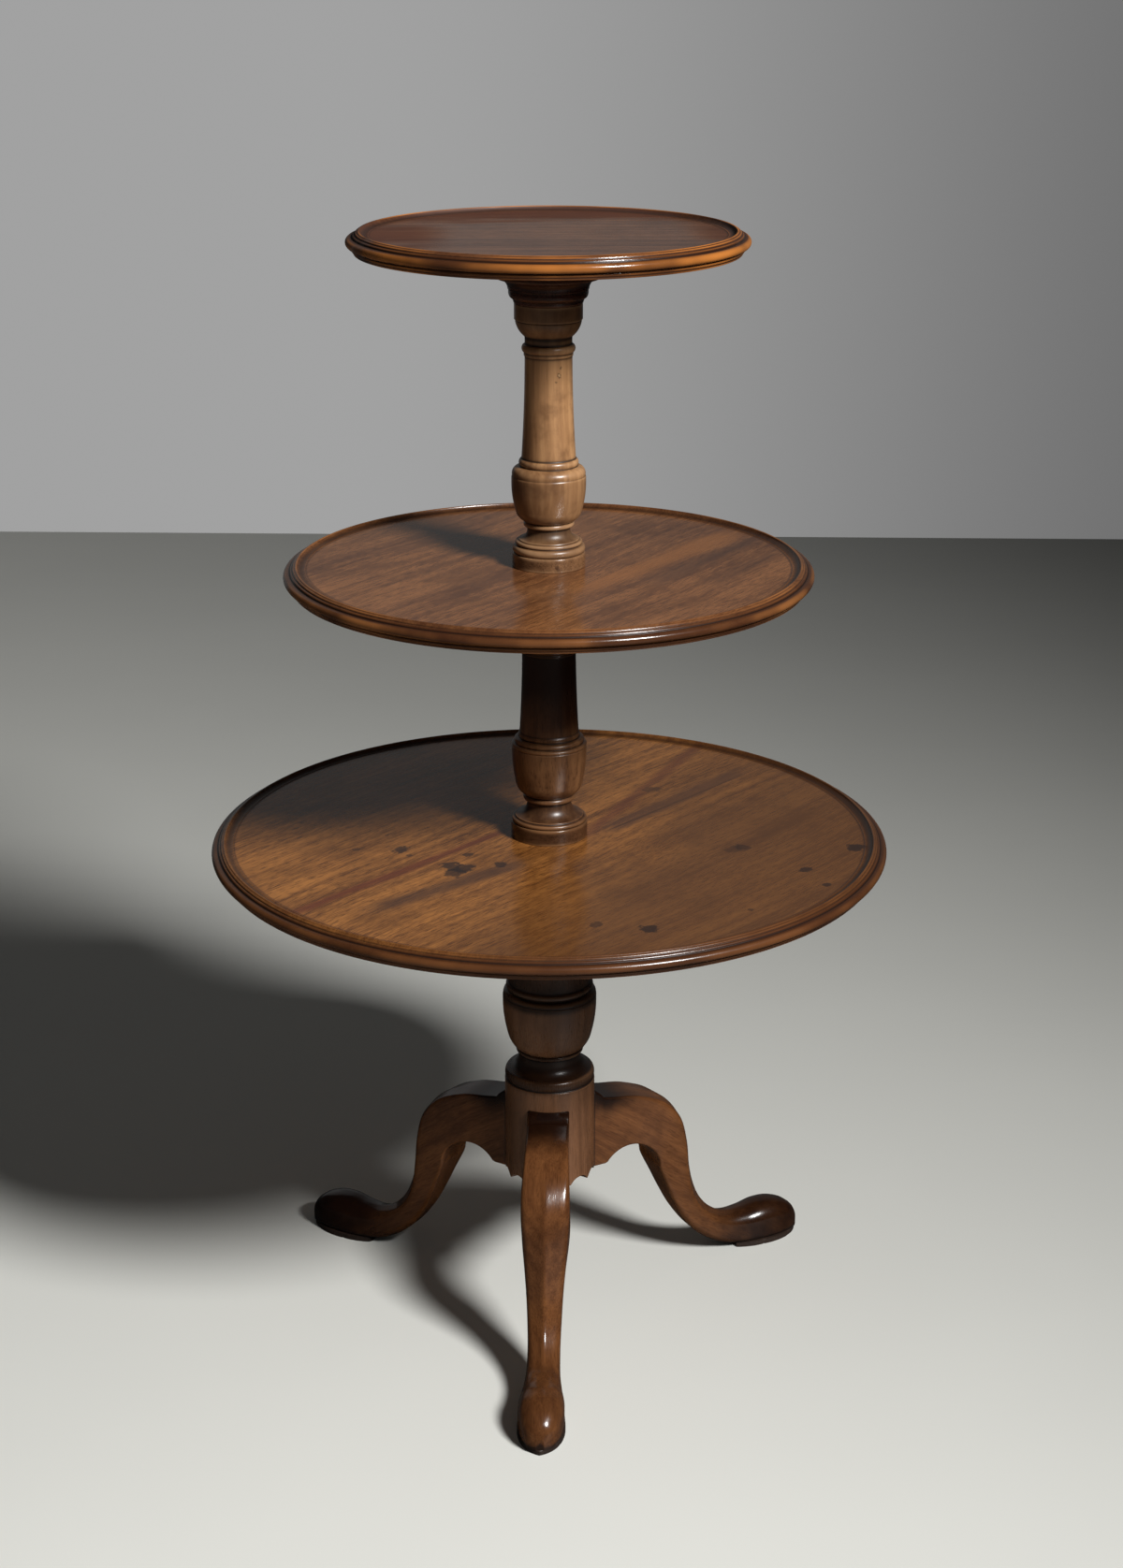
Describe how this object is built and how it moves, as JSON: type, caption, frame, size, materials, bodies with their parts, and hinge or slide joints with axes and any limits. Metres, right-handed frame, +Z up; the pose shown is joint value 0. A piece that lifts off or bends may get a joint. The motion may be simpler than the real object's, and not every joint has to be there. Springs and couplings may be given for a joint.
{
  "type": "dumb waiter table",
  "caption": "Round dish-topped trays of falling size that revolve on a turned baluster pillar with cabriole legs and pad feet, for serving and display.",
  "frame": {"origin": "on the pillar's axis at floor level, below the centre of the three shoes", "axes": "+Z up the pillar; -Y towards the front leg; +X to the right of someone facing the front leg"},
  "size_m": [0.61, 0.61, 1.0158],
  "materials": {
    "base_pillar": "french polish, worn",
    "middle_pillar": "french polish, worn",
    "upper_pillar": "french polish, worn",
    "leg": "french polish, worn",
    "shoe": "french polish, worn",
    "boss": "french polish, worn",
    "screw": "dull hand-cut steel",
    "lower_tray": "french polish, worn",
    "middle_tray": "french polish, worn",
    "top_tray": "french polish, worn",
    "collar": "french polish, worn"
  },
  "bodies": {
    "stand": {"base_column": "base_pillar", "front_leg": "leg", "front_shoe": "shoe", "right_leg": "leg", "right_shoe": "shoe", "left_leg": "leg", "left_shoe": "shoe", "middle_column": "middle_pillar", "upper_column": "upper_pillar"},
    "lower_tier": {"lower_boss": "boss", "lower_screws": "screw", "lower_tray": "lower_tray", "lower_collar": "collar"},
    "middle_tier": {"middle_boss": "boss", "middle_screws": "screw", "middle_tray": "middle_tray", "middle_collar": "collar"},
    "top_tier": {"top_boss": "boss", "top_screws": "screw", "top_tray": "top_tray"}
  },
  "joints": [
    {"name": "lower_tier_turn", "type": "hinge", "parent": "stand", "child": "lower_tier", "pos_m": [0, 0, 0.44], "axis": [0, 0, 1], "continuous": true},
    {"name": "middle_tier_turn", "type": "hinge", "parent": "stand", "child": "middle_tier", "pos_m": [0, 0, 0.695], "axis": [0, 0, 1], "continuous": true},
    {"name": "top_tier_turn", "type": "hinge", "parent": "stand", "child": "top_tier", "pos_m": [0, 0, 0.976], "axis": [0, 0, 1], "continuous": true}
  ]
}
